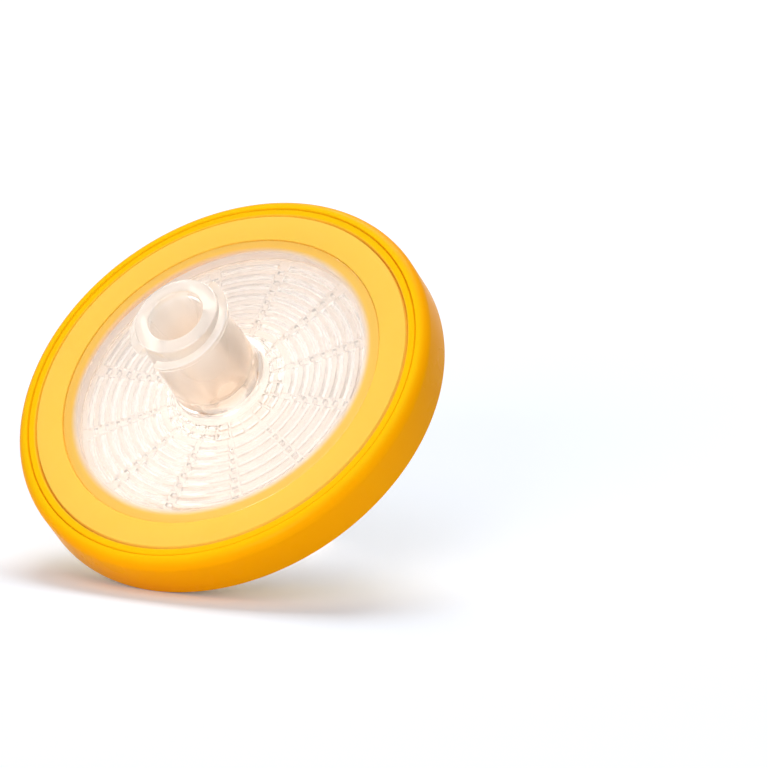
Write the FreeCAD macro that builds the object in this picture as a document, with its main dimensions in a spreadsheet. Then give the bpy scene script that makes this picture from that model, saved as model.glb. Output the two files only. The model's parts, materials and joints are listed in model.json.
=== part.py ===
"""A syringe filter: two clear moulded halves, the membrane clamped between them, and the rim round both.

Every piece is drawn about the flow axis, with the inlet mouth at height 0 and the outlet tip at the
top. The whole filter is then laid down as it comes to rest on a bench, on the edge of its rim and on
the end of its tip, with its inlet heading along -Y and up. Sizes are in millimetres and degrees.
"""

import FreeCAD
import Part
import Sketcher
import math
import os
import re

SHEET_NAME = "Sizes"
PLACE_TOLERANCE = 0.001

# Each rounding of an outline is drawn as so many straight flats: a fillet, or the edge of a piece.
FILLET_FLATS = 3
EDGE_FLATS = 2

# Where a quarter circle can start or end, as the angle from its centre.
RIGHT, TOP, LEFT, BOTTOM = 0, 90, 180, 270
FULL_TURN = 360

# Each driving size: its name, its value and what it measures.
SIZES = [
    ("rim_diameter", 33.0, "outside of the coloured rim"),
    ("rim_wall", 1.5, "rim outside the flanges of the clear halves"),
    ("rim_lip", 0.9, "rim over each flange"),
    ("rim_wall_height", 3.5, "straight wall of the rim, from its inlet face"),
    ("rim_bevel_width", 2.05, "bevel between the wall and the outlet face"),
    ("rim_edge_round", 0.85, "rounding of the rim's inlet edge"),
    ("rim_groove_inset", 1.63, "ring groove of the inlet face, from the outside"),
    ("rim_groove_width", 0.2, "width of that groove"),
    ("rim_groove_depth", 0.14, "depth of that groove"),
    ("inlet_lip_width", 2.3, "flange that the rim covers on the inlet side"),
    ("outlet_lip_width", 2.15, "flange that the rim covers on the outlet side"),
    ("window_recess", 0.1, "each window below the rim's face"),
    ("plate_thickness", 1.95, "floor of each clear half"),
    ("rib_height", 0.4, "ribs that hold the membrane off each floor"),
    ("inlet_rib_pitch", 1.15, "one ring rib of the inlet half to the next"),
    ("outlet_rib_pitch", 2.3, "one ring rib of the outlet half to the next"),
    ("rib_valley", 0.05, "valley between two ribs above the floor"),
    ("rib_root", 0.2, "foot of the ribs below the floor"),
    ("spoke_angle", 4.5, "angle that a radial channel leaves open between the ribs"),
    ("spoke_number", 12, "radial channels in each half"),
    ("land_width", 1.1, "smooth land between the ribs and the inlet window's edge"),
    ("least_plenum", 4.2, "smallest radius of the open space in the middle"),
    ("membrane_thickness", 0.15, "membrane"),
    ("membrane_reach", 0.9, "membrane outside the ribs, where the halves clamp it"),
    ("membrane_clearance", 0.1, "gap round the membrane's edge"),
    ("inlet_length", 8.0, "inlet mouth to the rim's inlet face"),
    ("inlet_mouth_diameter", 6.56, "outside of the inlet at its mouth"),
    ("inlet_base_diameter", 6.84, "outside of the inlet at its window"),
    ("inlet_base_round", 0.9, "fillet where the inlet meets its window"),
    ("socket_diameter", 4.3, "mouth of the tapered socket"),
    ("socket_depth", 7.5, "length of the tapered socket"),
    ("luer_taper", 0.06, "loss of diameter for each unit of length"),
    ("throat_diameter", 2.8, "hole from the socket to the membrane"),
    ("throat_slope", 0.4, "length of the cone between the socket and that hole"),
    ("lug_diameter", 7.75, "across the two locking lugs"),
    ("lug_crest", 0.42, "axial width of a lug at its crest"),
    ("lug_root", 0.72, "axial width of a lug at its root"),
    ("lug_offset", 0.08, "mouth to the near side of a lug's root, where it starts"),
    ("lug_lead", 2.5, "rise of a lug in one whole turn"),
    ("lug_sweep", 168, "angle that a lug covers"),
    ("lug_start", 114, "angle at which the first lug starts"),
    ("lug_number", 2, "locking lugs"),
    ("lug_bite", 0.2, "lug's root below the wall of the inlet"),
    ("hub_diameter", 6.0, "outlet hub"),
    ("hub_height", 5.5, "rim's outlet face to the shoulder of the hub"),
    ("hub_round", 0.45, "rounding of the hub's shoulder"),
    ("hub_base_round", 0.9, "fillet where the hub meets its window"),
    ("tip_diameter", 3.95, "small end of the tapered outlet tip"),
    ("tip_length", 8.35, "hub's shoulder to the end of the tip"),
    ("tip_round", 0.4, "rounding of the end of the tip"),
    ("bore_diameter", 1.8, "hole through the outlet"),
    ("rest_roll", 1.4, "turn about the flow axis, as the filter came to rest"),
]

# Sizes and heights that follow from the driving ones.
DERIVED = {
    "rim_radius": "rim_diameter / 2",
    "flange_radius": "rim_radius - rim_wall",
    "inlet_window_radius": "flange_radius - inlet_lip_width",
    "outlet_window_radius": "flange_radius - outlet_lip_width",
    "groove_radius": "rim_radius - rim_groove_inset",
    "rib_field_radius": "inlet_window_radius - land_width",
    "membrane_radius": "rib_field_radius + membrane_reach",
    "inlet_mouth_radius": "inlet_mouth_diameter / 2",
    "inlet_base_radius": "inlet_base_diameter / 2",
    "socket_radius": "socket_diameter / 2",
    "socket_end_radius": "socket_radius - luer_taper * socket_depth / 2",
    "throat_radius": "throat_diameter / 2",
    "lug_radius": "lug_diameter / 2",
    "hub_radius": "hub_diameter / 2",
    "tip_radius": "tip_diameter / 2",
    "tip_base_radius": "tip_radius + luer_taper * tip_length / 2",
    "bore_radius": "bore_diameter / 2",
    "inlet_face": "inlet_length",
    "inlet_window": "inlet_face + window_recess",
    "inlet_flange": "inlet_face + rim_lip",
    "inlet_floor": "inlet_window + plate_thickness",
    "membrane_bottom": "inlet_floor + rib_height",
    "membrane_top": "membrane_bottom + membrane_thickness",
    "outlet_floor": "membrane_top + rib_height",
    "outlet_window": "outlet_floor + plate_thickness",
    "outlet_face": "outlet_window + window_recess",
    "outlet_flange": "outlet_face - rim_lip",
    "wall_top": "inlet_face + rim_wall_height",
    "shoulder": "outlet_face + hub_height",
    "tip_end": "shoulder + tip_length",
    "seat_radius": "membrane_radius + membrane_clearance",
}

SIZE_NAMES = {name for name, value, meaning in SIZES}


def formula(text):
    """Write out a formula in the sheet's own cells: derived names are replaced until none is left."""
    def cell(match):
        word = match.group(0)
        if word in DERIVED:
            return "(" + formula(DERIVED[word]) + ")"
        if word in SIZE_NAMES:
            return SHEET_NAME + "." + word
        return word
    return re.sub(r"[a-z_]+", cell, text)


def make_sheet(document):
    """Put every driving size into the spreadsheet, a row each, with its name as the alias."""
    sheet = document.addObject("Spreadsheet::Sheet", SHEET_NAME)
    for row, (name, value, meaning) in enumerate(SIZES, start=1):
        sheet.set(f"A{row}", name)
        sheet.set(f"B{row}", str(value))
        sheet.set(f"C{row}", meaning)
        sheet.setAlias(f"B{row}", name)
    document.recompute()
    return sheet


def value_of(sheet, text):
    """The number that a formula gives now."""
    return float(sheet.evalExpression(formula(text)))


def new_body(document, label):
    body = document.addObject("PartDesign::Body", label)
    body.Label = label
    return body


def origin_feature(body, role):
    """The plane or axis of the body's own origin that plays this role."""
    for feature in body.Origin.OriginFeatures:
        if feature.Role == role:
            return feature
    raise ValueError(f"{body.Label} has no {role}")


def new_sketch(body, name, role):
    sketch = body.newObject("Sketcher::SketchObject", name)
    sketch.AttachmentSupport = [(origin_feature(body, role), "")]
    sketch.MapMode = "FlatFace"
    return sketch


def turn_sketch(sketch, angle):
    """Turn an upright sketch round the flow axis."""
    upright = FreeCAD.Rotation(FreeCAD.Vector(0, 1, 0), 1)
    sketch.AttachmentOffset = FreeCAD.Placement(FreeCAD.Vector(), upright)
    sketch.setExpression(".AttachmentOffset.Rotation.Angle", formula(angle))


def hold(sketch, kind, place, text, sheet):
    """Hold one coordinate of a point of the sketch at a formula, or on the sketch's own axis at zero."""
    line, end = place
    number = value_of(sheet, text)
    if abs(number) < PLACE_TOLERANCE:
        axis = -2 if kind == "DistanceX" else -1
        sketch.addConstraint(Sketcher.Constraint("PointOnObject", line, end, axis))
        return
    index = sketch.addConstraint(Sketcher.Constraint(kind, -1, 1, line, end, number))
    sketch.setExpression(f"Constraints[{index}]", formula(text))


def add_outline(sketch, corners, sheet):
    """Draw a closed outline of straight lines. Each corner is a pair of formulas, across and up."""
    points = [FreeCAD.Vector(value_of(sheet, across), value_of(sheet, up), 0) for across, up in corners]
    first = sketch.GeometryCount
    for start, end in zip(points, points[1:] + points[:1]):
        sketch.addGeometry(Part.LineSegment(start, end), False)
    last = first + len(corners) - 1
    for line in range(first, last + 1):
        follower = first if line == last else line + 1
        sketch.addConstraint(Sketcher.Constraint("Coincident", line, 2, follower, 1))
    for line, (across, up) in enumerate(corners, start=first):
        hold(sketch, "DistanceX", (line, 1), across, sheet)
        hold(sketch, "DistanceY", (line, 1), up, sheet)


def turn(body, name, kind, outlines, sheet):
    """Turn outlines of radius and height round the flow axis, to add material or to cut it."""
    sketch = new_sketch(body, name + "_outline", "XZ_Plane")
    for corners in outlines:
        add_outline(sketch, corners, sheet)
    feature = body.newObject("PartDesign::" + kind, name)
    feature.Profile = sketch
    feature.ReferenceAxis = (sketch, ["V_Axis"])
    feature.Angle = FULL_TURN
    body.Document.recompute()
    return feature


def rounding(across, up, size, flats, start, end):
    """Corners along a quarter circle of this size about a centre, from one side of it to another."""
    half_turn = FULL_TURN / 2
    sweep = (end - start + half_turn) % FULL_TURN - half_turn
    corners = []
    for step in range(flats + 1):
        angle = math.radians(start + sweep * step / flats)
        corner = (f"{across} + {size} * {math.cos(angle):.9f}", f"{up} + {size} * {math.sin(angle):.9f}")
        corners.append(corner)
    return corners


def repeat_round_axis(body, name, original, number):
    """Repeat a feature round the flow axis, evenly spaced."""
    pattern = body.newObject("PartDesign::PolarPattern", name)
    pattern.Originals = [original]
    pattern.Axis = (origin_feature(body, "Z_Axis"), [""])
    pattern.Angle = FULL_TURN
    pattern.setExpression("Occurrences", formula(number))
    body.Tip = pattern
    body.Document.recompute()
    return pattern


def rib_number(sheet, pitch):
    """As many ring ribs as fit between the smooth land and the open middle."""
    room = value_of(sheet, "rib_field_radius - least_plenum")
    return int((room + PLACE_TOLERANCE) / value_of(sheet, pitch))


def rib_field_outline(sheet, pitch, crest, floor, outwards):
    """Section of the ring ribs, from the smooth land inwards: sharp crests with a valley between two."""
    root = f"{floor} - {outwards} * rib_root"
    valley = f"{floor} + {outwards} * rib_valley"
    corners = [("rib_field_radius", root), ("rib_field_radius", valley)]
    for step in range(rib_number(sheet, pitch)):
        outer = f"rib_field_radius - {step} * {pitch}"
        corners += [(f"{outer} - {pitch} / 2", crest), (f"{outer} - {pitch}", valley)]
    innermost = corners.pop()[0]
    return corners + [(innermost, floor), (innermost, root)]


def add_ribs(body, pitch, crest, floor, outwards, sheet):
    """Ring ribs in even sectors, with a radial channel between each sector and the next."""
    sketch = new_sketch(body, "rib_outline", "XZ_Plane")
    turn_sketch(sketch, "spoke_angle / 2")
    add_outline(sketch, rib_field_outline(sheet, pitch, crest, floor, outwards), sheet)
    ribs = body.newObject("PartDesign::Revolution", "rib_sector")
    ribs.Profile = sketch
    ribs.ReferenceAxis = (sketch, ["V_Axis"])
    ribs.setExpression("Angle", formula(f"{FULL_TURN} / spoke_number - spoke_angle"))
    body.Document.recompute()
    repeat_round_axis(body, "ribs", ribs, "spoke_number")


def add_lugs(body, sheet):
    """Wind the two locking lugs round the mouth, each nearly half a turn of a right-handed ramp."""
    sketch = new_sketch(body, "lug_outline", "XZ_Plane")
    turn_sketch(sketch, "lug_start")
    root = "inlet_mouth_radius - lug_bite"
    slope = "(lug_root - lug_crest) / 2"
    add_outline(sketch, [
        (root, "lug_offset"),
        ("lug_radius", f"lug_offset + {slope}"),
        ("lug_radius", f"lug_offset + {slope} + lug_crest"),
        (root, "lug_offset + lug_root"),
    ], sheet)
    lug = body.newObject("PartDesign::AdditiveHelix", "lug")
    lug.Profile = sketch
    lug.ReferenceAxis = (sketch, ["V_Axis"])
    lug.Mode = "pitch-height-angle"
    lug.setExpression("Pitch", formula("lug_lead"))
    lug.setExpression("Height", formula(f"lug_lead * lug_sweep / {FULL_TURN}"))
    body.Document.recompute()
    repeat_round_axis(body, "lugs", lug, "lug_number")


def make_inlet_housing(document, sheet):
    """Clear inlet half: tapered socket with locking lugs, window plate, flange and flow ribs."""
    body = new_body(document, "inlet_housing")
    across, up = "inlet_base_radius + inlet_base_round", "inlet_window - inlet_base_round"
    base_fillet = rounding(across, up, "inlet_base_round", FILLET_FLATS, LEFT, TOP)
    turn(body, "shell", "Revolution", [[
        ("socket_radius", "0"),
        ("inlet_mouth_radius", "0"),
        *base_fillet,
        ("inlet_window_radius", "inlet_window"),
        ("inlet_window_radius", "inlet_flange"),
        ("flange_radius", "inlet_flange"),
        ("flange_radius", "membrane_bottom"),
        ("rib_field_radius", "membrane_bottom"),
        ("rib_field_radius", "inlet_floor"),
        ("throat_radius", "inlet_floor"),
        ("throat_radius", "socket_depth + throat_slope"),
        ("socket_end_radius", "socket_depth"),
    ]], sheet)
    add_ribs(body, "inlet_rib_pitch", "membrane_bottom", "inlet_floor", 1, sheet)
    add_lugs(body, sheet)
    return body


def tip_rounding():
    """Corners of the rounded end of the tip."""
    return rounding("tip_radius - tip_round", "tip_end - tip_round", "tip_round", EDGE_FLATS, TOP, RIGHT)


def make_outlet_housing(document, sheet):
    """Clear outlet half: flange, drain ribs, window plate, hub and tapered tip."""
    body = new_body(document, "outlet_housing")
    across, up = "hub_radius - hub_round", "shoulder - hub_round"
    shoulder_round = rounding(across, up, "hub_round", EDGE_FLATS, TOP, RIGHT)
    across, up = "hub_radius + hub_base_round", "outlet_window + hub_base_round"
    base_fillet = rounding(across, up, "hub_base_round", FILLET_FLATS, LEFT, BOTTOM)
    turn(body, "shell", "Revolution", [[
        ("bore_radius", "tip_end"),
        *tip_rounding(),
        ("tip_base_radius", "shoulder"),
        *shoulder_round,
        *base_fillet,
        ("outlet_window_radius", "outlet_window"),
        ("outlet_window_radius", "outlet_flange"),
        ("flange_radius", "outlet_flange"),
        ("flange_radius", "membrane_bottom"),
        ("seat_radius", "membrane_bottom"),
        ("seat_radius", "membrane_top"),
        ("rib_field_radius", "membrane_top"),
        ("rib_field_radius", "outlet_floor"),
        ("bore_radius", "outlet_floor"),
    ]], sheet)
    add_ribs(body, "outlet_rib_pitch", "membrane_top", "outlet_floor", -1, sheet)
    return body


def make_membrane(document, sheet):
    """Thin round membrane that lies on the ribs of both halves."""
    body = new_body(document, "membrane")
    turn(body, "disc", "Revolution", [[
        ("0", "membrane_bottom"),
        ("membrane_radius", "membrane_bottom"),
        ("membrane_radius", "membrane_top"),
        ("0", "membrane_top"),
    ]], sheet)
    return body


def make_rim(document, sheet):
    """Coloured rim, moulded round both flanges, with a grooved inlet face and a bevelled outlet side."""
    body = new_body(document, "rim_overmould")
    across, up = "rim_radius - rim_edge_round", "inlet_face + rim_edge_round"
    inlet_edge = rounding(across, up, "rim_edge_round", EDGE_FLATS, BOTTOM, RIGHT)
    turn(body, "rim", "Revolution", [[
        ("inlet_window_radius", "inlet_face"),
        ("groove_radius - rim_groove_width / 2", "inlet_face"),
        ("groove_radius", "inlet_face + rim_groove_depth"),
        ("groove_radius + rim_groove_width / 2", "inlet_face"),
        *inlet_edge,
        ("rim_radius", "wall_top"),
        ("rim_radius - rim_bevel_width", "outlet_face"),
        ("outlet_window_radius", "outlet_face"),
        ("outlet_window_radius", "outlet_flange"),
        ("flange_radius", "outlet_flange"),
        ("flange_radius", "inlet_flange"),
        ("inlet_window_radius", "inlet_flange"),
    ]], sheet)
    return body


def rest_turn(sheet):
    """How the filter leans at rest, on the corner of the rim's bevel and on the end of the tip.

    In the section through the flow axis, the ground is the line from that corner to the outermost
    corner of the rounded tip. The result turns the flow axis, outlet up, to where it then lies,
    after the roll about that axis.
    """
    rim_across = value_of(sheet, "rim_radius")
    rim_up = value_of(sheet, "wall_top")
    leans = []
    for across, up in tip_rounding():
        leans.append(math.atan2(value_of(sheet, up) - rim_up, value_of(sheet, across) - rim_across))
    lean = FreeCAD.Rotation(FreeCAD.Vector(1, 0, 0), -math.degrees(min(leans)))
    roll = FreeCAD.Rotation(FreeCAD.Vector(0, 0, 1), value_of(sheet, "rest_roll"))
    return lean.multiply(roll)


def lay_down(bodies, sheet):
    """Turn every piece the same way, then set the bottom of the whole on the ground, in its middle."""
    turned = FreeCAD.Placement(FreeCAD.Vector(), rest_turn(sheet))
    whole = Part.Compound([body.Shape for body in bodies])
    whole.Placement = turned
    box = whole.optimalBoundingBox(False, False)
    ground = FreeCAD.Vector(-box.Center.x, -box.Center.y, -box.ZMin)
    for body in bodies:
        body.Placement = FreeCAD.Placement(ground, turned.Rotation)


def check(document, bodies):
    """Stop if any feature failed or any piece isn't one sound solid."""
    for item in document.Objects:
        if "Invalid" in item.State or "Error" in item.State:
            raise ValueError(f"{item.Name} failed: {item.State}")
    for body in bodies:
        if body.Shape.isNull() or not body.Shape.isValid() or len(body.Shape.Solids) != 1:
            raise ValueError(f"{body.Label} isn't one valid solid")


def main():
    document = FreeCAD.newDocument("syringe_filter")
    sheet = make_sheet(document)
    makers = [make_inlet_housing, make_outlet_housing, make_membrane, make_rim]
    bodies = [make(document, sheet) for make in makers]
    check(document, bodies)
    lay_down(bodies, sheet)
    document.recompute()
    check(document, bodies)
    os.makedirs("parts", exist_ok=True)
    for body in bodies:
        body.Shape.exportStep(f"parts/{body.Label}.step")
        print(f"{body.Label}: {body.Shape.Volume:.1f} mm3, {len(body.Shape.Faces)} faces")


main()
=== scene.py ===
"""Looks of a syringe filter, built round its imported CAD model.

The filter is modelled about its flow axis, inlet mouth at height 0 and outlet tip at the top, and
is then laid where the CAD model lies. Sizes are in millimetres until a mesh is made, and angles in
degrees. Blender's own unit is the metre.
"""

import json
import logging
import math
from collections.abc import Callable, Iterable, Sequence
from dataclasses import dataclass, field
from enum import Enum

import bmesh
import bpy
from mathutils import Matrix, Vector

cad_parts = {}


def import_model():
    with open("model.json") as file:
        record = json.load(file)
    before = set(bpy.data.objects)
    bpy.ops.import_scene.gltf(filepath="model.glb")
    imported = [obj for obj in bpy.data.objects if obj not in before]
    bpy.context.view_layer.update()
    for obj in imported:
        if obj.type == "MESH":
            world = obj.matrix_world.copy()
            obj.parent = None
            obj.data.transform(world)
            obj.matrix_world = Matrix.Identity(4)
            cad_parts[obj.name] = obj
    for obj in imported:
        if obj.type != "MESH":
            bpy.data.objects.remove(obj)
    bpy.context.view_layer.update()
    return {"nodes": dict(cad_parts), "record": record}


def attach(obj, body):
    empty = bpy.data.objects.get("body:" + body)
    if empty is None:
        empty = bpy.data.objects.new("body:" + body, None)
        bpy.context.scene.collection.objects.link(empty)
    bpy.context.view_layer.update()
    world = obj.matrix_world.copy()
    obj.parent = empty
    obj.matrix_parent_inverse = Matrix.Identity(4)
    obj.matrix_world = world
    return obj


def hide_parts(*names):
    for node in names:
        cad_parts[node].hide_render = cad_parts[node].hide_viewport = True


LOG = logging.getLogger("syringe_filter")

MM = 0.001
BODY = "root"
FULL_TURN = 360.0
# How many steps a turned piece has round its axis.
AROUND = 360
# In millimetres: places closer than these are taken as the same.
PLACE_TOLERANCE = 0.004
TURN_TOLERANCE = PLACE_TOLERANCE / 4
PIP_TOLERANCE = 0.02
SENSOR_WIDTH = 36.0
MATRIX_SIZE = 4
# Into how many flats a rounded corner is cut.
TINY_STEPS = 2
SMALL_STEPS = 3
CORNER_STEPS = 4
BEVEL_STEPS = 8
FILLET_STEPS = 10
EDGE_STEPS = 12
# The sRGB transfer curve.
SRGB_KNEE = 0.04045
SRGB_SLOPE = 12.92
SRGB_OFFSET = 0.055
SRGB_POWER = 2.4
HEX_BASE = 16
HEX_MAX = 255
# Inputs of a Mix node between two colours.
MIX_A = 6
MIX_B = 7

Test = Callable[[Vector], bool]


class Side(Enum):
    """Which way a floor faces along the flow axis."""

    TOWARDS_OUTLET = 1.0
    TOWARDS_INLET = -1.0


class Slot(Enum):
    """The record's material slots."""

    CLEAR = "clear_plastic"
    COLOURED = "coloured_plastic"


@dataclass(frozen=True)
class Corner:
    """One corner of a turned outline, in millimetres, with the radius that rounds it."""

    radius: float
    height: float
    rounding: float = 0.0
    segments: int = CORNER_STEPS

    def point(self) -> Vector:
        """The corner in metres, in the plane of the outline."""
        return Vector((self.radius, 0.0, self.height)) * MM


@dataclass(frozen=True)
class FlowFrame:
    """Where the flow axis of the laid filter runs, in metres."""

    mouth: Vector
    towards_outlet: Vector
    roll: float = 1.4

    @classmethod
    def from_record(cls, record: dict) -> "FlowFrame":
        """Find the axis from the record's inlet mount.

        Args:
            record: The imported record.

        Returns:
            The frame of the flow axis.
        """
        socket = next(mount for mount in record["mounts"] if mount["name"] == "inlet_socket")
        towards_inlet = Vector(socket["axis"]).normalized()
        half_length = socket["dims"]["length_mm"] * MM / 2
        return cls(Vector(socket["pos_m"]) + towards_inlet * half_length, -towards_inlet)

    def matrix(self) -> Matrix:
        """The turn and shift from a model on the vertical axis to the laid filter.

        Returns:
            The matrix, in metres.
        """
        across = Vector((1.0, 0.0, 0.0))
        low_side = self.towards_outlet.cross(across).normalized()
        turn = Matrix((across, low_side, self.towards_outlet)).transposed().to_4x4()
        roll = Matrix.Rotation(math.radians(self.roll), MATRIX_SIZE, "Z")
        return Matrix.Translation(self.mouth) @ turn @ roll

    def at(self, height: float) -> Vector:
        """A point of the axis, this many millimetres from the inlet mouth."""
        return self.mouth + self.towards_outlet * height * MM


class Bench:
    """Modelling by hand in edit mode: outlines, turning, selecting and finishing."""

    @staticmethod
    def clear() -> None:
        """Leave edit mode and deselect everything."""
        if bpy.context.object and bpy.context.object.mode != "OBJECT":
            bpy.ops.object.mode_set(mode="OBJECT")
        bpy.ops.object.select_all(action="DESELECT")

    @staticmethod
    def pick(piece: bpy.types.Object) -> None:
        """Make this piece the only one selected, and the active one.

        Args:
            piece: The piece.
        """
        Bench.clear()
        piece.select_set(True)
        bpy.context.view_layer.objects.active = piece

    @staticmethod
    def select_vertices(test: Test) -> int:
        """Select the vertices of the edited mesh whose place passes a test.

        Args:
            test: Says of a place in metres whether to select it.

        Returns:
            How many are selected.
        """
        bpy.ops.mesh.select_mode(type="VERT")
        mesh = bmesh.from_edit_mesh(bpy.context.object.data)
        for vertex in mesh.verts:
            vertex.select_set(test(vertex.co))
        mesh.select_flush_mode()
        bmesh.update_edit_mesh(bpy.context.object.data)
        return sum(vertex.select for vertex in mesh.verts)

    @staticmethod
    def select_faces(test: Test) -> int:
        """Select the faces of the edited mesh whose middle passes a test.

        Args:
            test: Says of a place in metres whether to select it.

        Returns:
            How many are selected.
        """
        bpy.ops.mesh.select_mode(type="FACE")
        mesh = bmesh.from_edit_mesh(bpy.context.object.data)
        for face in mesh.faces:
            face.select_set(test(face.calc_center_median()))
        mesh.select_flush_mode()
        bmesh.update_edit_mesh(bpy.context.object.data)
        return sum(face.select for face in mesh.faces)

    @staticmethod
    def tangent_length(corners: Sequence[Corner], index: int) -> float:
        """How far from a corner its rounding starts, in metres.

        Args:
            corners: The closed outline.
            index: Which corner.

        Returns:
            The length along each side that the rounding takes.
        """
        here = corners[index].point()
        before = (here - corners[index - 1].point()).normalized()
        after = (corners[(index + 1) % len(corners)].point() - here).normalized()
        return corners[index].rounding * MM * math.tan(before.angle(after) / 2)

    @staticmethod
    def draw_outline(name: str, corners: Sequence[Corner]) -> bpy.types.Object:
        """Draw a closed outline, side by side, and round its corners.

        Args:
            name: The piece's name.
            corners: The corners, in order.

        Returns:
            The new piece, in edit mode, as a loop of edges.
        """
        Bench.clear()
        bpy.ops.mesh.primitive_plane_add(size=MM, location=(0.0, 0.0, 0.0))
        piece = bpy.context.object
        piece.name = piece.data.name = name
        bpy.ops.object.mode_set(mode="EDIT")
        bpy.ops.mesh.select_mode(type="VERT")
        bpy.ops.mesh.select_all(action="SELECT")
        bpy.ops.mesh.merge(type="CENTER")
        bpy.ops.transform.translate(value=corners[0].point())
        for start, end in zip(corners, corners[1:]):
            step = end.point() - start.point()
            bpy.ops.mesh.extrude_region_move(TRANSFORM_OT_translate={"value": step})
        bpy.ops.mesh.select_all(action="SELECT")
        bpy.ops.mesh.edge_face_add()
        for index, corner in enumerate(corners):
            if corner.rounding > 0:
                place = corner.point()
                reach = Bench.tangent_length(corners, index)
                Bench.select_vertices(lambda at: (at - place).length < PLACE_TOLERANCE * MM)
                bpy.ops.mesh.bevel(offset=reach, segments=corner.segments, affect="VERTICES")
        return piece

    @staticmethod
    def turn_round(piece: bpy.types.Object) -> None:
        """Turn the drawn outline round the flow axis into a closed body.

        Half a step of turn is added, so that the middle of a step lies on each main direction.

        Args:
            piece: The piece with the outline, in edit mode.
        """
        bpy.ops.mesh.select_all(action="SELECT")
        bpy.ops.mesh.delete(type="ONLY_FACE")
        bpy.ops.mesh.select_all(action="SELECT")
        bpy.ops.mesh.spin(steps=AROUND, angle=math.tau, center=(0, 0, 0), axis=(0, 0, 1))
        bpy.ops.mesh.select_all(action="SELECT")
        bpy.ops.mesh.remove_doubles(threshold=TURN_TOLERANCE * MM)
        bpy.ops.mesh.normals_make_consistent(inside=False)
        half_step = math.pi / AROUND
        bpy.ops.transform.rotate(value=half_step, orient_axis="Z", center_override=(0, 0, 0))
        bpy.ops.object.mode_set(mode="OBJECT")

    @staticmethod
    def apply_modifiers(piece: bpy.types.Object) -> None:
        """Apply all the piece's modifiers, in order.

        Args:
            piece: The piece.
        """
        Bench.pick(piece)
        for modifier in list(piece.modifiers):
            bpy.ops.object.modifier_apply(modifier=modifier.name)

    @staticmethod
    def finish(piece: bpy.types.Object, frame: FlowFrame, sharp_angle: float) -> None:
        """Lay the piece where the CAD model lies, with its place in its mesh, and smooth it.

        Args:
            piece: A piece modelled on the vertical axis.
            frame: Where the flow axis runs.
            sharp_angle: Edges that turn by more than this stay sharp.
        """
        Bench.pick(piece)
        piece.matrix_world = frame.matrix()
        bpy.ops.object.transform_apply(location=True, rotation=True, scale=True)
        bpy.ops.object.shade_smooth_by_angle(angle=math.radians(sharp_angle))


def radius_of(place: Vector) -> float:
    """Distance from the vertical axis, in millimetres."""
    return math.hypot(place.x, place.y) / MM


def angle_of(place: Vector) -> float:
    """Angle round the vertical axis, from 0 to 360 degrees."""
    return math.degrees(math.atan2(place.y, place.x)) % FULL_TURN


def near(value: float, target: float, tolerance: float = PLACE_TOLERANCE) -> bool:
    """True if two lengths in millimetres are the same."""
    return abs(value - target) < tolerance


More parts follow.
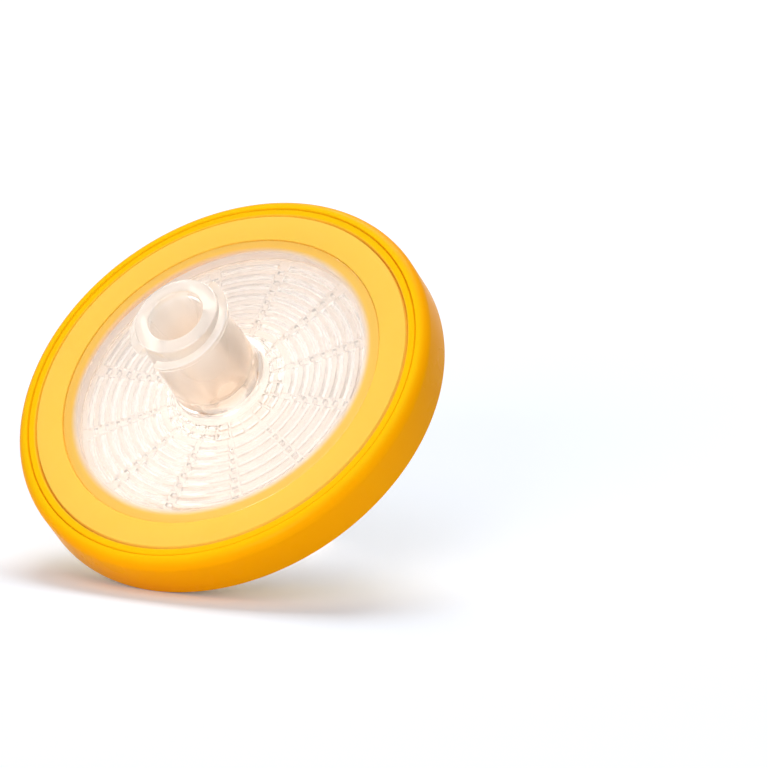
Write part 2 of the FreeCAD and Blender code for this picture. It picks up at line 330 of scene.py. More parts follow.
@dataclass(frozen=True)
class RibField:
    """Ring ribs in twelve sectors on the floor of a clear half, and short ribs round its throat.

    A radial channel runs between two sectors, with a row of small tapered pips that hold the
    membrane off its floor. Radii and heights are in millimetres, and widths of gaps in steps of
    the turned body.
    """

    side: Side
    floor: float
    pitch: float = 0.88
    count: int = 7
    field_radius: float = 11.25
    outer_radius: float = 11.6
    edge_gap: float = 0.1
    collar_radius: float = 4.45
    collar_number: int = 2
    inner_radius: float = 3.2
    crest_height: float = 0.4
    valley_height: float = 0.05
    foot_width: float = 0.56
    crest_width: float = 0.2
    channel_steps: int = 5
    sector_number: int = 12
    collar_gap_steps: int = 3
    collar_sector_number: int = 24
    pip_steps: int = 3
    pip_taper: float = 0.06
    pip_height: float = 0.34

    def rings(self) -> list[float]:
        """Middle radius of each ring rib, from the outside in."""
        first = self.field_radius - self.pitch / 2
        return [first - self.pitch * index for index in range(self.count)]

    def collars(self) -> list[float]:
        """Middle radius of each ring of short ribs round the throat, from the outside in."""
        return [self.collar_radius - self.pitch * index for index in range(self.collar_number)]

    def pip_radii(self) -> list[float]:
        """Distance of each pip from the axis, half way between two ribs."""
        return [ring - self.pitch / 2 for ring in self.rings()[:-1]]

    def crest_loops(self) -> list[float]:
        """Radii of the two edges of each crest.

        Returns:
            The radii, in millimetres.
        """
        half = self.crest_width / 2
        rings = self.rings() + self.collars()
        return [ring + way * half for ring in rings for way in (1, -1)]

    def loops(self) -> list[float]:
        """Radii of all the floor's edge loops.

        Returns:
            The radii in millimetres, from the outside in.
        """
        half = self.foot_width / 2
        feet = [ring + way * half for ring in self.rings() + self.collars() for way in (1, -1)]
        edges = [self.outer_radius - self.edge_gap, self.inner_radius]
        return sorted(edges + feet + self.crest_loops(), reverse=True)

    def floor_corners(self) -> list[Corner]:
        """Corners that give the floor its edge loops."""
        return [Corner(radius, self.floor) for radius in self.loops()]

    def in_sector(self, place: Vector) -> bool:
        """Say whether a place lies under the ribs.

        Args:
            place: The place, in metres.

        Returns:
            True under a rib, and False in the channels between sectors.
        """
        loops = self.loops()
        if not near(place.z / MM, self.floor) or not loops[-1] < radius_of(place) < loops[0]:
            return False
        if radius_of(place) < self.collar_radius + self.foot_width / 2:
            return not self.in_gap(place, self.collar_sector_number, self.collar_gap_steps)
        return not self.in_gap(place, self.sector_number, self.channel_steps)

    @staticmethod
    def in_gap(place: Vector, number: int, steps: int) -> bool:
        """Say whether a place lies in one of the gaps between sectors.

        Args:
            place: The place, in metres.
            number: How many gaps there are round the axis.
            steps: How many steps of the turned body a gap is wide.

        Returns:
            True in a gap.
        """
        sector = FULL_TURN / number
        beside = (angle_of(place) + sector / 2) % sector - sector / 2
        return abs(beside) < steps * FULL_TURN / AROUND / 2

    def on_pip(self, place: Vector) -> bool:
        """Say whether a place on the floor lies under a pip.

        Args:
            place: The place, in metres.

        Returns:
            True under a pip.
        """
        if not near(place.z / MM, self.floor):
            return False
        if not self.in_gap(place, self.sector_number, self.pip_steps):
            return False
        return any(near(radius_of(place), radius, PIP_TOLERANCE) for radius in self.pip_radii())

    def raise_on(self, piece: bpy.types.Object) -> None:
        """Raise the pips and the ribs from the floor of a turned piece.

        Args:
            piece: The piece, whose floor has the edge loops.
        """
        Bench.pick(piece)
        bpy.ops.object.mode_set(mode="EDIT")
        up = self.side.value
        Bench.select_faces(self.on_pip)
        bpy.ops.mesh.inset(thickness=self.pip_taper * MM, depth=self.pip_height * MM)
        Bench.select_faces(self.in_sector)
        lift = Vector((0.0, 0.0, up * self.valley_height * MM))
        bpy.ops.mesh.extrude_region_move(TRANSFORM_OT_translate={"value": lift})
        crests = self.crest_loops()
        valley = self.floor + up * self.valley_height

        def on_crest(place: Vector) -> bool:
            """True on a crest's edge that still lies at the valleys' height."""
            level = near(place.z / MM, valley)
            return level and any(near(radius_of(place), crest) for crest in crests)

        Bench.select_vertices(on_crest)
        lift = Vector((0.0, 0.0, up * (self.crest_height - self.valley_height) * MM))
        bpy.ops.transform.translate(value=lift)
        bpy.ops.object.mode_set(mode="OBJECT")


@dataclass(frozen=True)
class LockLugs:
    """Two right-handed locking lugs that wind up from the inlet's mouth."""

    root_radius: float = 3.08
    crest_radius: float = 3.875
    root_low: float = 0.08
    root_high: float = 0.80
    crest_low: float = 0.23
    crest_high: float = 0.65
    start: float = 114.0
    sweep: float = 168.0
    lead: float = 2.5
    number: int = 2
    edge_round: float = 0.09
    steps: int = 96

    def build_one(self, index: int) -> bpy.types.Object:
        """Wind one lug.

        Args:
            index: Which lug, counted round the mouth.

        Returns:
            The lug as a closed body.
        """
        corners = [
            Corner(self.root_radius, self.root_low),
            Corner(self.crest_radius, self.crest_low, self.edge_round, SMALL_STEPS),
            Corner(self.crest_radius, self.crest_high, self.edge_round, SMALL_STEPS),
            Corner(self.root_radius, self.root_high),
        ]
        lug = Bench.draw_outline(f"lug_{index}", corners)
        bpy.ops.mesh.select_all(action="SELECT")
        bpy.ops.mesh.delete(type="ONLY_FACE")
        bpy.ops.object.mode_set(mode="OBJECT")
        start = math.radians(self.start + index * FULL_TURN / self.number)
        lug.matrix_world = Matrix.Rotation(start, MATRIX_SIZE, "Z")
        bpy.ops.object.transform_apply(location=True, rotation=True, scale=True)
        screw = lug.modifiers.new("wind", "SCREW")
        screw.angle = math.radians(self.sweep)
        screw.screw_offset = self.lead * self.sweep / FULL_TURN * MM
        screw.steps = screw.render_steps = self.steps
        screw.use_merge_vertices = False
        Bench.apply_modifiers(lug)
        bpy.ops.object.mode_set(mode="EDIT")
        bpy.ops.mesh.select_mode(type="VERT")
        bpy.ops.mesh.select_all(action="DESELECT")
        bpy.ops.mesh.select_non_manifold()
        bpy.ops.mesh.fill_holes(sides=0)
        bpy.ops.mesh.select_all(action="SELECT")
        bpy.ops.mesh.normals_make_consistent(inside=False)
        bpy.ops.object.mode_set(mode="OBJECT")
        return lug

    def join_to(self, housing: bpy.types.Object) -> None:
        """Unite the lugs with the housing into one body.

        Some steps of a lug fall almost on the housing's own, which leaves pairs of vertices side
        by side, so these are merged at the end.

        Args:
            housing: The inlet housing, before it is laid down.
        """
        for index in range(self.number):
            lug = self.build_one(index)
            union = housing.modifiers.new("lug", "BOOLEAN")
            union.operation = "UNION"
            union.solver = "EXACT"
            union.object = lug
            Bench.apply_modifiers(housing)
            bpy.data.objects.remove(lug)
        Bench.pick(housing)
        bpy.ops.object.mode_set(mode="EDIT")
        bpy.ops.mesh.select_mode(type="VERT")
        bpy.ops.mesh.select_all(action="SELECT")
        bpy.ops.mesh.remove_doubles(threshold=PLACE_TOLERANCE * MM)
        bpy.ops.object.mode_set(mode="OBJECT")


@dataclass(frozen=True)
class Heights:
    """Heights along the flow axis that the pieces share, from the inlet mouth."""

    inlet_face: float = 8.0
    inlet_window: float = 8.1
    inlet_flange: float = 8.9
    inlet_floor: float = 10.05
    membrane_bottom: float = 10.45
    membrane_top: float = 10.6
    outlet_floor: float = 11.0
    outlet_flange: float = 12.15
    outlet_window: float = 12.95
    outlet_face: float = 13.05
    wall_top: float = 11.5
    shoulder: float = 18.55
    tip_end: float = 26.9


@dataclass
class TurnedPiece:
    """A piece that is turned from an outline round the flow axis and then laid down."""

    heights: Heights = field(default_factory=Heights)
    name: str = "turned_piece"
    sharp_angle: float = 40.0

    def outline(self) -> list[Corner]:
        """Section of the piece, which each kind of piece draws for itself."""
        raise NotImplementedError

    def add_details(self, piece: bpy.types.Object) -> None:
        """Add what turning can't make, before the piece is laid down: nothing, by default."""

    def build(self, frame: FlowFrame) -> bpy.types.Object:
        """Model the piece.

        Args:
            frame: Where the flow axis runs.

        Returns:
            The finished piece.
        """
        piece = Bench.draw_outline(self.name, self.outline())
        Bench.turn_round(piece)
        self.add_details(piece)
        Bench.finish(piece, frame, self.sharp_angle)
        return piece


@dataclass
class InletHousing(TurnedPiece):
    """Clear inlet half: tapered socket with lock lugs, window plate, flange and flow ribs."""

    name: str = "inlet_housing_moulding"
    mouth_radius: float = 3.28
    base_radius: float = 3.42
    base_fillet: float = 0.9
    socket_radius: float = 2.15
    socket_end_radius: float = 1.925
    socket_depth: float = 7.5
    throat_radius: float = 1.4
    throat_slope: float = 0.4
    window_radius: float = 12.7
    flange_radius: float = 15.0
    fit_gap: float = 0.015
    edge_round: float = 0.12
    window_round: float = 0.12
    seat_step_outer: float = 12.55
    seat_step_inner: float = 12.45
    seat_round: float = 0.05
    throat_round: float = 0.25
    lugs: LockLugs = field(default_factory=LockLugs)

    def ribs(self) -> RibField:
        """The flow ribs under the membrane."""
        return RibField(Side.TOWARDS_OUTLET, self.heights.inlet_floor)

    def outline(self) -> list[Corner]:
        """Section of the housing.

        Returns:
            The corners, from the mouth of the socket round to its end.
        """
        high = self.heights
        ribs = self.ribs()
        window = self.window_radius - self.fit_gap
        flange = self.flange_radius + self.fit_gap
        seat = high.membrane_bottom + self.fit_gap
        return [
            Corner(self.socket_radius, 0.0, self.edge_round),
            Corner(self.mouth_radius, 0.0, self.edge_round),
            Corner(self.base_radius, high.inlet_window, self.base_fillet, FILLET_STEPS),
            Corner(window, high.inlet_window, self.window_round, SMALL_STEPS),
            Corner(window, high.inlet_flange + self.fit_gap),
            Corner(flange, high.inlet_flange + self.fit_gap),
            Corner(flange, high.membrane_bottom - self.fit_gap),
            Corner(self.seat_step_outer, high.membrane_bottom - self.fit_gap),
            Corner(self.seat_step_inner, seat),
            Corner(ribs.outer_radius, seat, self.seat_round, TINY_STEPS),
            Corner(ribs.outer_radius, high.inlet_floor),
            *ribs.floor_corners(),
            Corner(self.throat_radius, high.inlet_floor, self.throat_round),
            Corner(self.throat_radius, self.socket_depth + self.throat_slope),
            Corner(self.socket_end_radius, self.socket_depth),
        ]

    def add_details(self, piece: bpy.types.Object) -> None:
        """Raise the ribs and join the lugs."""
        self.ribs().raise_on(piece)
        self.lugs.join_to(piece)


@dataclass
class OutletHousing(TurnedPiece):
    """Clear outlet half: flange, drain ribs, window plate, hub and tapered tip."""

    name: str = "outlet_housing_moulding"
    window_radius: float = 12.85
    flange_radius: float = 15.0
    seat_radius: float = 12.6
    hub_radius: float = 3.0
    hub_round: float = 0.45
    hub_fillet: float = 0.9
    tip_radius: float = 1.975
    tip_base_radius: float = 2.2255
    tip_round: float = 0.44
    shoulder_round: float = 0.12
    bore_radius: float = 0.9
    bore_round: float = 0.08
    drain_round: float = 0.3
    window_round: float = 0.05
    seat_round: float = 0.05
    fit_gap: float = 0.015

    def ribs(self) -> RibField:
        """The drain ribs over the membrane."""
        return RibField(Side.TOWARDS_INLET, self.heights.outlet_floor)

    def outline(self) -> list[Corner]:
        """Section of the housing.

        Returns:
            The corners, from the end of the tip round to the floor.
        """
        high = self.heights
        ribs = self.ribs()
        window = self.window_radius - self.fit_gap
        flange = self.flange_radius + self.fit_gap
        return [
            Corner(self.bore_radius, high.tip_end, self.bore_round, SMALL_STEPS),
            Corner(self.tip_radius, high.tip_end, self.tip_round, BEVEL_STEPS),
            Corner(self.tip_base_radius, high.shoulder, self.shoulder_round, SMALL_STEPS),
            Corner(self.hub_radius, high.shoulder, self.hub_round, BEVEL_STEPS),
            Corner(self.hub_radius, high.outlet_window, self.hub_fillet, FILLET_STEPS),
            Corner(window, high.outlet_window, self.window_round, TINY_STEPS),
            Corner(window, high.outlet_flange - self.fit_gap),
            Corner(flange, high.outlet_flange - self.fit_gap),
            Corner(flange, high.membrane_bottom + self.fit_gap),
            Corner(self.seat_radius, high.membrane_bottom + self.fit_gap),
            Corner(self.seat_radius, high.membrane_top - self.fit_gap),
            Corner(
                ribs.outer_radius, high.membrane_top - self.fit_gap, self.seat_round, TINY_STEPS
            ),
            Corner(ribs.outer_radius, high.outlet_floor),
            *ribs.floor_corners(),
            Corner(self.bore_radius, high.outlet_floor, self.drain_round),
        ]

    def add_details(self, piece: bpy.types.Object) -> None:
        """Raise the ribs."""
        self.ribs().raise_on(piece)


@dataclass
class RimOvermould(TurnedPiece):
    """Coloured rim, moulded round both flanges."""

    name: str = "rim_moulding"
    outer_radius: float = 16.49
    bevel_width: float = 2.05
    flange_radius: float = 15.0
    inlet_window_radius: float = 12.7
    outlet_window_radius: float = 12.85
    groove_radius: float = 14.87
    groove_width: float = 0.2
    groove_depth: float = 0.45
    line_radius: float = 15.52
    line_width: float = 0.14
    line_depth: float = 0.3
    band_drop: float = 0.05
    edge_round: float = 0.87
    corner_round: float = 0.15
    inlet_window_round: float = 0.1
    outlet_window_round: float = 0.08
    groove_round: float = 0.04
    line_round: float = 0.03
    sharp_angle: float = 25.0

    def outline(self) -> list[Corner]:
        """Section of the rim.

        Returns:
            The corners, from the edge of the inlet window outwards.
        """
        high = self.heights
        band = high.inlet_face + self.band_drop
        groove = self.groove_width / 2
        line = self.line_width / 2
        return [
            Corner(
                self.inlet_window_radius, high.inlet_face, self.inlet_window_round, SMALL_STEPS
            ),
            Corner(self.groove_radius - groove, high.inlet_face, self.groove_round, TINY_STEPS),
            Corner(self.groove_radius, high.inlet_face + self.groove_depth),
            Corner(self.groove_radius + groove, band, self.groove_round, TINY_STEPS),
            Corner(self.line_radius - line, band, self.groove_round, TINY_STEPS),
            Corner(self.line_radius, high.inlet_face + self.line_depth),
            Corner(self.line_radius + line, high.inlet_face, self.line_round, TINY_STEPS),
            Corner(self.outer_radius, high.inlet_face, self.edge_round, EDGE_STEPS),
            Corner(self.outer_radius, high.wall_top, self.corner_round),
            Corner(self.outer_radius - self.bevel_width, high.outlet_face, self.corner_round),
            Corner(
                self.outlet_window_radius, high.outlet_face, self.outlet_window_round, SMALL_STEPS
            ),
            Corner(self.outlet_window_radius, high.outlet_flange),
            Corner(self.flange_radius, high.outlet_flange),
            Corner(self.flange_radius, high.inlet_flange),
            Corner(self.inlet_window_radius, high.inlet_flange),
        ]


def linear(code: str) -> tuple[float, float, float, float]:
    """Turn an sRGB hex colour into the linear values that shaders take.

    Args:
        code: Six hex digits.

    Returns:
        Red, green, blue and an alpha of 1.
    """
    parts = [int(code[start:start + 2], HEX_BASE) / HEX_MAX for start in range(0, len(code), 2)]
    bright = [
        ((part + SRGB_OFFSET) / (1 + SRGB_OFFSET)) ** SRGB_POWER
        if part > SRGB_KNEE
        else part / SRGB_SLOPE
        for part in parts
    ]
    return (*bright, 1.0)


def add_node(
    tree: bpy.types.NodeTree,
    kind: str,
    settings: dict[str, object] | None = None,
    inputs: dict[str | int, object] | None = None,
) -> bpy.types.Node:
    """Add one node, with its settings, its constants and the links into it.

    Args:
        tree: The tree that takes the node.
        kind: The node's type.
        settings: Properties of the node.
        inputs: Constants or output sockets, by the name or number of the input.

    Returns:
        The new node.
    """
    node = tree.nodes.new(kind)
    for name, value in (settings or {}).items():
        setattr(node, name, value)
    for name, value in (inputs or {}).items():
        if isinstance(value, bpy.types.NodeSocket):
            tree.links.new(value, node.inputs[name])
        else:
            node.inputs[name].default_value = value
    return node


def new_material(name: str) -> tuple[bpy.types.Material, bpy.types.NodeTree]:
    """Start a material with an empty tree.

    Args:
        name: The material's name.

    Returns:
        The material and its tree.
    """
    material = bpy.data.materials.new(name)
    material.use_nodes = True
    material.node_tree.nodes.clear()
    return material, material.node_tree


def flow_coordinates(tree: bpy.types.NodeTree, frame: FlowFrame) -> bpy.types.NodeSocket:
    """Object coordinates brought back to the upright flow axis.

    Args:
        tree: The material's tree.
        frame: Where the flow axis runs.

    Returns:
        The vector output.
    """
    place = add_node(tree, "ShaderNodeTexCoord")
    upright = add_node(tree, "ShaderNodeMapping", {"vector_type": "TEXTURE"}, {
        "Vector": place.outputs["Object"],
        "Location": frame.mouth,
        "Rotation": frame.matrix().to_euler(),
    })
    return upright.outputs["Vector"]


def radius_output(tree: bpy.types.NodeTree, place: bpy.types.NodeSocket) -> bpy.types.NodeSocket:
    """Distance from the flow axis.

    Args:
        tree: The material's tree.
        place: Coordinates on the upright flow axis.

    Returns:
        The distance output, in metres.
    """
    across = add_node(
        tree, "ShaderNodeVectorMath", {"operation": "MULTIPLY"}, {0: place, 1: (1.0, 1.0, 0.0)}
    )
    radius = add_node(
        tree, "ShaderNodeVectorMath", {"operation": "LENGTH"}, {0: across.outputs["Vector"]}
    )
    return radius.outputs["Value"]


@dataclass(frozen=True)
class FineRelief:
    """Fine unevenness of a surface, with its width and height in millimetres."""

    width: float
    detail: float
    strength: float
    height: float

    def add(
        self, tree: bpy.types.NodeTree, place: bpy.types.NodeSocket
    ) -> tuple[bpy.types.NodeSocket, bpy.types.NodeSocket]:
        """Add the unevenness to a material.

        Args:
            tree: The material's tree.
            place: Coordinates on the upright flow axis.

        Returns:
            The outputs of its height, from 0 to 1, and of the normal.
        """
        noise = add_node(
            tree,
            "ShaderNodeTexNoise",
            None,
            {"Vector": place, "Scale": 1 / (self.width * MM), "Detail": self.detail},
        )
        bump = add_node(tree, "ShaderNodeBump", None, {
            "Height": noise.outputs["Fac"],
            "Strength": self.strength,
            "Distance": self.height * MM,
        })
        return noise.outputs["Fac"], bump.outputs["Normal"]


@dataclass(frozen=True)
class ClearPlastic:
    """Clear styrene-acrylic, injection moulded and polished: bends light, with faint flow waves.

    Near the rim it is bonded to the coloured plastic, which hazes it, and there it is painted
    yellow-orange: painted light, the rim's glow shining into it. The thick socket is milky, and
    its foot is painted peach, fading towards the mouth: painted light that the rim sheds on it.
    Light that has bent more often than deepest_bend goes straight on, because the thin ribs would
    otherwise turn black.
    """

    tint: str = "F8F3EF"
    # Painted light: the rim's yellow-orange glow in the clear plastic where it is bonded to the
    # rim.
    rim_glow_painted_tint: str = "FFCB50"
    mouth_tint: str = "FEF7F0"
    # Painted light: the rim's peach glow at the socket's foot, which fades towards the mouth.
    foot_rim_glow_painted_tint: str = "FAE3CC"
    clear_radius: float = 11.35
    bonded_radius: float = 12.1
    plate_top: float = 7.9
    socket_foot: float = 6.9
    painted_foot_glow_end: float = 2.0
    foot_radius: float = 4.8
    plate_radius: float = 6.2
    foot_clearness: float = 0.95
    clearness: float = 0.78
    bonded_clearness: float = 0.16
    socket_clearness: float = 0.72
    roughness: float = 0.12
    ior: float = 1.52
    waves: FineRelief = FineRelief(width=3.0, detail=2.0, strength=0.12, height=0.05)
    passed_tint: str = "FCF8F4"
    deepest_bend: float = 4.5

    def make(self, frame: FlowFrame) -> bpy.types.Material:
        """Build the material.

        Args:
            frame: Where the flow axis runs.

        Returns:
            The material.
        """
        material, tree = new_material("clear_moulded_styrene_acrylic")
        place = flow_coordinates(tree, frame)
        _, normal = self.waves.add(tree, place)
        radius = radius_output(tree, place)
        bonded = add_node(tree, "ShaderNodeMapRange", {"interpolation_type": "SMOOTHSTEP"}, {
            "Value": radius,
            "From Min": self.clear_radius * MM,
            "From Max": self.bonded_radius * MM,
        })
        # Painted light: towards the bonded edge the clear plastic takes the rim's painted glow.
        colour = add_node(tree, "ShaderNodeMix", {"data_type": "RGBA"}, {
            0: bonded.outputs["Result"],
            MIX_A: linear(self.tint),
            MIX_B: linear(self.rim_glow_painted_tint),
        })
        plate_clearness = add_node(tree, "ShaderNodeMapRange", None, {
            "Value": radius,
            "From Min": self.foot_radius * MM,
            "From Max": self.plate_radius * MM,
            "To Min": self.foot_clearness,
            "To Max": self.clearness,
        })
        clearness = add_node(tree, "ShaderNodeMapRange", None, {
            "Value": bonded.outputs["Result"],
            "To Min": plate_clearness.outputs["Result"],
            "To Max": self.bonded_clearness,
        })
        height = add_node(tree, "ShaderNodeSeparateXYZ", None, {"Vector": place})
        # Painted light: the socket turns from milky white at its mouth to the rim's painted peach
        # glow at its foot.
        down = add_node(tree, "ShaderNodeMapRange", None, {
            "Value": height.outputs["Z"],
            "From Min": self.painted_foot_glow_end * MM,
            "From Max": self.socket_foot * MM,
        })
        socket_colour = add_node(tree, "ShaderNodeMix", {"data_type": "RGBA"}, {
            0: down.outputs["Result"],
            MIX_A: linear(self.mouth_tint),
            MIX_B: linear(self.foot_rim_glow_painted_tint),
        })
        socket = add_node(tree, "ShaderNodeMapRange", {"interpolation_type": "SMOOTHSTEP"}, {
            "Value": height.outputs["Z"],
            "From Min": self.socket_foot * MM,
            "From Max": self.plate_top * MM,
            "To Min": 1.0,
            "To Max": 0.0,
        })
        all_colour = add_node(tree, "ShaderNodeMix", {"data_type": "RGBA"}, {
            0: socket.outputs["Result"],
            MIX_A: colour.outputs[2],
            MIX_B: socket_colour.outputs[2],
        })
        all_clearness = add_node(tree, "ShaderNodeMapRange", None, {
            "Value": socket.outputs["Result"],
            "To Min": clearness.outputs["Result"],
            "To Max": self.socket_clearness,
        })
        plastic = add_node(tree, "ShaderNodeBsdfPrincipled", None, {
            "Base Color": all_colour.outputs[2],
            "Roughness": self.roughness,
            "IOR": self.ior,
            "Transmission Weight": all_clearness.outputs["Result"],
            "Normal": normal,
        })
        rays = add_node(tree, "ShaderNodeLightPath")
        deep = add_node(
            tree,
            "ShaderNodeMath",
            {"operation": "GREATER_THAN"},
            {0: rays.outputs["Ray Depth"], 1: self.deepest_bend},
        )
        straight = add_node(
            tree,
            "ShaderNodeMath",
            {"operation": "MAXIMUM"},
            {0: rays.outputs["Is Shadow Ray"], 1: deep.outputs[0]},
        )
        passed = add_node(
            tree, "ShaderNodeBsdfTransparent", None, {"Color": linear(self.passed_tint)}
        )
        surface = add_node(
            tree,
            "ShaderNodeMixShader",
            None,
            {0: straight.outputs[0], 1: plastic.outputs[0], 2: passed.outputs[0]},
        )
        add_node(tree, "ShaderNodeOutputMaterial", None, {"Surface": surface.outputs[0]})
        return material


@dataclass(frozen=True)
class RimPlastic:
    """Yellow-orange polypropylene, injection moulded: nearly no sheen, a faint orange-peel skin.

    Light passes into it a little. Its flat face is painted lighter and yellower than its side
    wall, most of all where it is thin over the clear plastic: painted light of the lit face and of
    light through the thin plastic.
    """

    # Painted light: the face and its outer band are lighter and yellower than the wall's orange.
    lit_face_painted_colour: str = "FFCF56"
    lit_bead_painted_colour: str = "FFC60C"
    wall_colour: str = "FFA800"
    thin_radius: float = 14.8
    thick_radius: float = 15.1
    bead_radius: float = 15.7
    wall_radius: float = 16.4
    specular: float = 0.02
    glow: float = 0.12
    glow_mm: float = 1.0
    glow_spread: tuple[float, float, float] = (1.0, 0.55, 0.12)
    ior: float = 1.49
    roughness_low: float = 0.24
    roughness_high: float = 0.32
    mottle_mm: float = 4.0
    mottle_detail: float = 3.0
    mottle_share: float = 0.15
    mottle_low: float = 0.3
    mottle_high: float = 0.7
    peel: FineRelief = FineRelief(width=0.35, detail=2.0, strength=0.06, height=0.01)

    def make(self, frame: FlowFrame) -> bpy.types.Material:
        """Build the material.

        Args:
            frame: Where the flow axis runs.

        Returns:
            The material.
        """
        material, tree = new_material("orange_moulded_polypropylene")
        place = flow_coordinates(tree, frame)
        mottle = add_node(tree, "ShaderNodeTexNoise", None, {
            "Vector": place,
            "Scale": 1 / (self.mottle_mm * MM),
            "Detail": self.mottle_detail,
        })
        radius = radius_output(tree, place)
        # Painted light: yellowest over the thin plastic on the flange, then a lighter yellow on
        # the rest of the lit face.
        thicker = add_node(tree, "ShaderNodeMapRange", {"interpolation_type": "SMOOTHSTEP"}, {
            "Value": radius,
            "From Min": self.thin_radius * MM,
            "From Max": self.thick_radius * MM,
        })
        outwards = add_node(tree, "ShaderNodeMapRange", {"interpolation_type": "SMOOTHSTEP"}, {
            "Value": radius,
            "From Min": self.bead_radius * MM,
            "From Max": self.wall_radius * MM,
        })
        uneven = add_node(tree, "ShaderNodeMapRange", None, {
            "Value": mottle.outputs["Fac"],
            "To Min": -self.mottle_share,
            "To Max": self.mottle_share,
        })
        share = add_node(
            tree,
            "ShaderNodeMath",
            {"operation": "ADD", "use_clamp": True},
            {0: outwards.outputs["Result"], 1: uneven.outputs["Result"]},
        )
        face = add_node(tree, "ShaderNodeMix", {"data_type": "RGBA"}, {
            0: thicker.outputs["Result"],
            MIX_A: linear(self.lit_face_painted_colour),
            MIX_B: linear(self.lit_bead_painted_colour),
        })
        # Painted light: the lit face's colour gives way to the wall's orange towards the outer
        # edge.
        colour = add_node(
            tree,
            "ShaderNodeMix",
            {"data_type": "RGBA"},
            {0: share.outputs[0], MIX_A: face.outputs[2], MIX_B: linear(self.wall_colour)},
        )
        gloss = add_node(tree, "ShaderNodeMapRange", None, {
            "Value": mottle.outputs["Fac"],
            "From Min": self.mottle_low,
            "From Max": self.mottle_high,
            "To Min": self.roughness_low,
            "To Max": self.roughness_high,
        })
        _, normal = self.peel.add(tree, place)
        plastic = add_node(tree, "ShaderNodeBsdfPrincipled", None, {
            "Base Color": colour.outputs[2],
            "Roughness": gloss.outputs["Result"],
            "IOR": self.ior,
            "Specular IOR Level": self.specular,
            "Subsurface Weight": self.glow,
            "Subsurface Radius": self.glow_spread,
            "Subsurface Scale": self.glow_mm * MM,
            "Normal": normal,
        })
        add_node(tree, "ShaderNodeOutputMaterial", None, {"Surface": plastic.outputs[0]})
        return material


@dataclass(frozen=True)
class MembraneFilm:
    """White cast polymer membrane: matt and porous.

    Its real pores are far too fine to show, so its grain is drawn much coarser.
    """

    colour: str = "F5F2F0"
    shaded_colour: str = "ECE8E5"
    grain: FineRelief = FineRelief(width=0.12, detail=4.0, strength=0.3, height=0.02)
    roughness: float = 0.85

    def make(self, frame: FlowFrame) -> bpy.types.Material:
        """Build the material.

        Args:
            frame: Where the flow axis runs.

        Returns:
            The material.
        """
        material, tree = new_material("white_cast_membrane")
        place = flow_coordinates(tree, frame)
        grain, normal = self.grain.add(tree, place)
        colour = add_node(tree, "ShaderNodeMix", {"data_type": "RGBA"}, {
            0: grain,
            MIX_A: linear(self.shaded_colour),
            MIX_B: linear(self.colour),
        })
        film = add_node(tree, "ShaderNodeBsdfPrincipled", None, {
            "Base Color": colour.outputs[2],
            "Roughness": self.roughness,
            "Normal": normal,
        })
        add_node(tree, "ShaderNodeOutputMaterial", None, {"Surface": film.outputs[0]})
        return material


@dataclass(frozen=True)
class Lamp:
    """One soft square lamp, placed from the middle of the filter in the camera's directions."""

    name: str
    right: float
    up: float
    back: float
    side: float
    power: float
    colour: str = "FFFFFF"


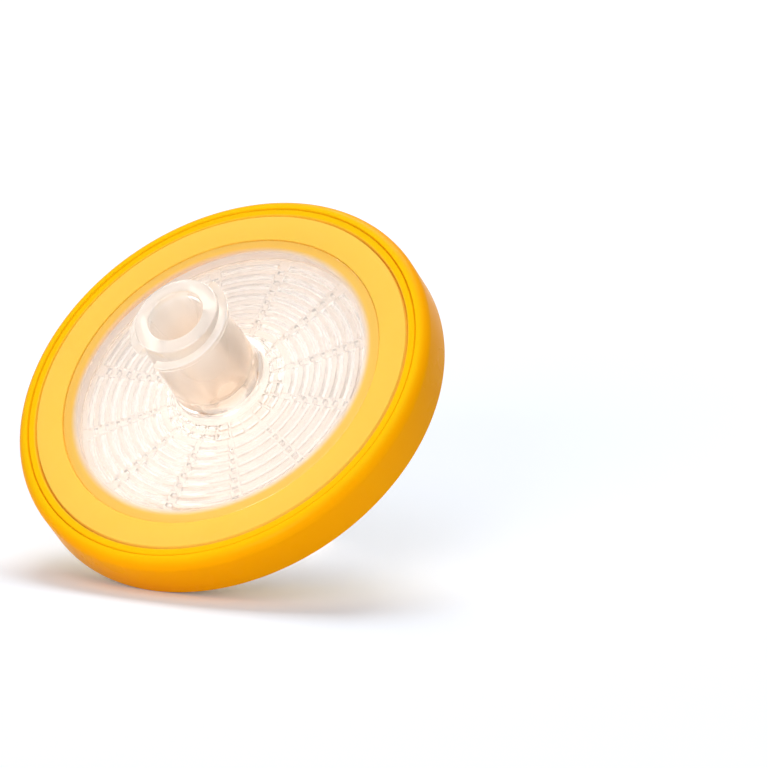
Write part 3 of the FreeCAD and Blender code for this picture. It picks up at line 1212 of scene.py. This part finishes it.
@dataclass
class Studio:
    """White floor, soft lamps, pale surroundings and the camera.

    The aim and the distance are in millimetres, the floor and the lamps in metres. floor_lift is
    light that the floor adds only for the rays that show it, and world_light is what the
    surroundings give to everything else, low enough to keep the shadow.
    """

    frame: FlowFrame
    azimuth: float = 31.69
    elevation: float = 10.29
    focal_length: float = 276.8
    aim_height: float = 8.0
    aim_right: float = -12.12
    aim_up: float = 0.40
    distance: float = 434.34
    floor_side: float = 8.0
    floor_colour: str = "ECF1F9"
    floor_lift: float = 0.1
    world_light: float = 0.4
    lamps: tuple[Lamp, ...] = (
        Lamp("key_softbox", -0.15, 0.95, 0.85, 0.8, 3.0),
        Lamp("back_softbox", 0.1, 1.2, -0.5, 0.7, 11.5),
        Lamp("front_softbox", -0.4, 0.12, 1.2, 0.5, 6.5),
    )

    def directions(self) -> tuple[Vector, Vector, Vector]:
        """Find the camera's directions.

        Returns:
            Its right, up and backward directions.
        """
        a, e = math.radians(self.azimuth), math.radians(self.elevation)
        right = Vector((math.cos(a), math.sin(a), 0.0))
        up = Vector((-math.sin(a) * math.sin(e), math.cos(a) * math.sin(e), math.cos(e)))
        back = Vector((math.sin(a) * math.cos(e), -math.cos(a) * math.cos(e), math.sin(e)))
        return right, up, back

    def add_camera(self) -> None:
        """Create the camera and make it the scene's."""
        right, up, back = self.directions()
        lens = bpy.data.cameras.new("camera")
        lens.sensor_width = SENSOR_WIDTH
        lens.lens = self.focal_length
        camera = bpy.data.objects.new("camera", lens)
        bpy.context.scene.collection.objects.link(camera)
        aim = self.frame.at(self.aim_height)
        place = aim - (right * self.aim_right + up * self.aim_up - back * self.distance) * MM
        turn = Matrix((right, up, back)).transposed().to_4x4()
        camera.matrix_world = Matrix.Translation(place) @ turn
        bpy.context.scene.camera = camera

    def add_floor(self) -> None:
        """Lay the pale floor, which looks white to the eye and keeps the shadow."""
        Bench.clear()
        bpy.ops.mesh.primitive_plane_add(size=self.floor_side, location=(0.0, 0.0, 0.0))
        floor = bpy.context.object
        floor.name = "studio_floor"
        material, tree = new_material("matt_white_board")
        board = add_node(tree, "ShaderNodeBsdfDiffuse", None, {"Color": linear(self.floor_colour)})
        rays = add_node(tree, "ShaderNodeLightPath")
        seen = self.seen_rays(tree, rays)
        lift = add_node(
            tree, "ShaderNodeMath", {"operation": "MULTIPLY"}, {0: seen, 1: self.floor_lift}
        )
        glow = add_node(tree, "ShaderNodeEmission", None, {"Strength": lift.outputs[0]})
        both = add_node(
            tree, "ShaderNodeAddShader", None, {0: board.outputs[0], 1: glow.outputs[0]}
        )
        add_node(tree, "ShaderNodeOutputMaterial", None, {"Surface": both.outputs[0]})
        floor.data.materials.append(material)

    @staticmethod
    def seen_rays(tree: bpy.types.NodeTree, rays: bpy.types.Node) -> bpy.types.NodeSocket:
        """Which rays see a surface: straight from the camera, by a mirror or through glass.

        Args:
            tree: The tree that takes the nodes.
            rays: Its Light Path node.

        Returns:
            An output that is 1 for those rays and 0 for the rest.
        """
        mirrored = add_node(
            tree,
            "ShaderNodeMath",
            {"operation": "MAXIMUM"},
            {0: rays.outputs["Is Camera Ray"], 1: rays.outputs["Is Glossy Ray"]},
        )
        seen = add_node(
            tree,
            "ShaderNodeMath",
            {"operation": "MAXIMUM"},
            {0: mirrored.outputs[0], 1: rays.outputs["Is Transmission Ray"]},
        )
        return seen.outputs[0]

    def add_world(self) -> None:
        """Surround the scene with soft pale light that looks white."""
        world = bpy.data.worlds.new("studio")
        bpy.context.scene.world = world
        world.use_nodes = True
        tree = world.node_tree
        tree.nodes.clear()
        rays = add_node(tree, "ShaderNodeLightPath")
        strength = add_node(
            tree,
            "ShaderNodeMapRange",
            None,
            {"Value": self.seen_rays(tree, rays), "To Min": self.world_light, "To Max": 1.0},
        )
        light = add_node(
            tree, "ShaderNodeBackground", None, {"Strength": strength.outputs["Result"]}
        )
        add_node(tree, "ShaderNodeOutputWorld", None, {"Surface": light.outputs[0]})

    def add_lamps(self) -> None:
        """Hang the soft lamps round the filter."""
        right, up, back = self.directions()
        middle = self.frame.at(self.aim_height)
        for lamp in self.lamps:
            data = bpy.data.lights.new(lamp.name, "AREA")
            data.shape = "SQUARE"
            data.size = lamp.side
            data.energy = lamp.power
            red, green, blue, _ = linear(lamp.colour)
            data.color = (red, green, blue)
            offset = right * lamp.right + up * lamp.up + back * lamp.back
            light = bpy.data.objects.new(lamp.name, data)
            bpy.context.scene.collection.objects.link(light)
            light.rotation_mode = "QUATERNION"
            light.rotation_quaternion = offset.to_track_quat("Z", "Y")
            light.location = middle + offset

    def build(self) -> None:
        """Set up the whole studio."""
        self.add_floor()
        self.add_world()
        self.add_lamps()
        self.add_camera()
        bpy.context.scene.view_settings.view_transform = "Standard"


def dress(piece: bpy.types.Object, material: bpy.types.Material) -> None:
    """Give a piece one material all over.

    Args:
        piece: The piece.
        material: Its finish.
    """
    piece.data.materials.clear()
    piece.data.materials.append(material)


def place_piece(piece: bpy.types.Object, node: str) -> None:
    """Fix a finished piece to the filter in place of its CAD node.

    Args:
        piece: The finished piece.
        node: The CAD node that it stands for.
    """
    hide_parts(node)
    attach(piece, BODY)
    LOG.info("%s: %d faces", piece.name, len(piece.data.polygons))


def main() -> None:
    """Build every piece in order and set up the studio."""
    logging.basicConfig(level=logging.INFO, format="%(name)s: %(message)s")
    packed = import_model()
    frame = FlowFrame.from_record(packed["record"])

    clear = ClearPlastic().make(frame)
    inlet = InletHousing().build(frame)
    dress(inlet, clear)
    place_piece(inlet, "inlet_housing")
    outlet = OutletHousing().build(frame)
    dress(outlet, clear)
    place_piece(outlet, "outlet_housing")

    rim = RimOvermould().build(frame)
    dress(rim, RimPlastic().make(frame))
    place_piece(rim, "rim_overmould")

    dress(packed["nodes"]["membrane"], MembraneFilm().make(frame))

    Studio(frame).build()


if __name__ == "__main__":
    main()
